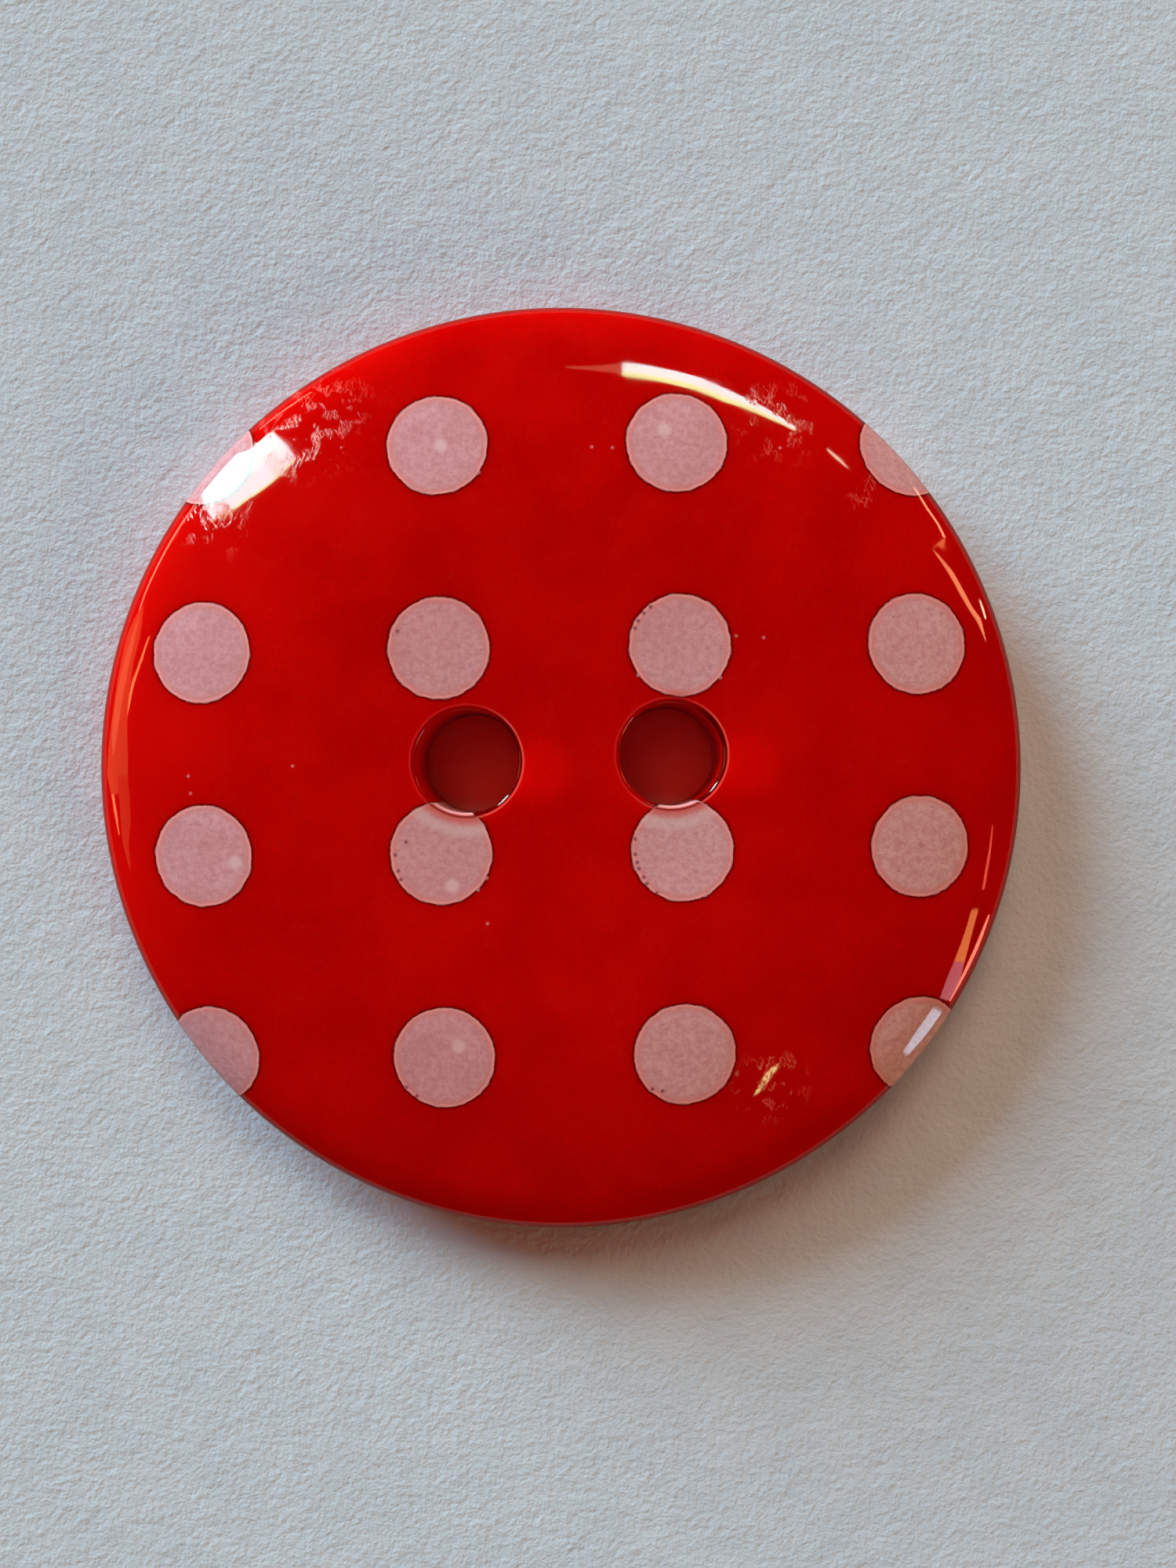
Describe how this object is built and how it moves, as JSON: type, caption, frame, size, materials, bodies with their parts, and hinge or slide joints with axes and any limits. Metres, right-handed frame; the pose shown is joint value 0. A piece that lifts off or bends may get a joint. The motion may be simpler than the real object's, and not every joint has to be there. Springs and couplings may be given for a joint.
{
  "type": "sewing button",
  "caption": "Round glossy resin sewing button with a shallow crowned front, inlaid polka dots and thread holes.",
  "frame": {"origin": "on the button's axis, at its flat back", "axes": "+Z out of the crowned front, along the thinnest extent; the rows of dots run nearly along X, with row 1 towards +Y"},
  "size_m": [0.028, 0.028, 0.003],
  "materials": {
    "red_resin": "polished translucent cast resin",
    "milky_resin": "polished milky cast resin"
  },
  "bodies": {
    "root": {"button_body": "red_resin", "dot_row1_col1": "milky_resin", "dot_row1_col2": "milky_resin", "dot_row1_col3": "milky_resin", "dot_row1_col4": "milky_resin", "dot_row2_col1": "milky_resin", "dot_row2_col2": "milky_resin", "dot_row2_col3": "milky_resin", "dot_row2_col4": "milky_resin", "dot_row3_col1": "milky_resin", "dot_row3_col2": "milky_resin", "dot_row3_col3": "milky_resin", "dot_row3_col4": "milky_resin", "dot_row4_col1": "milky_resin", "dot_row4_col2": "milky_resin", "dot_row4_col3": "milky_resin", "dot_row4_col4": "milky_resin"}
  },
  "joints": []
}
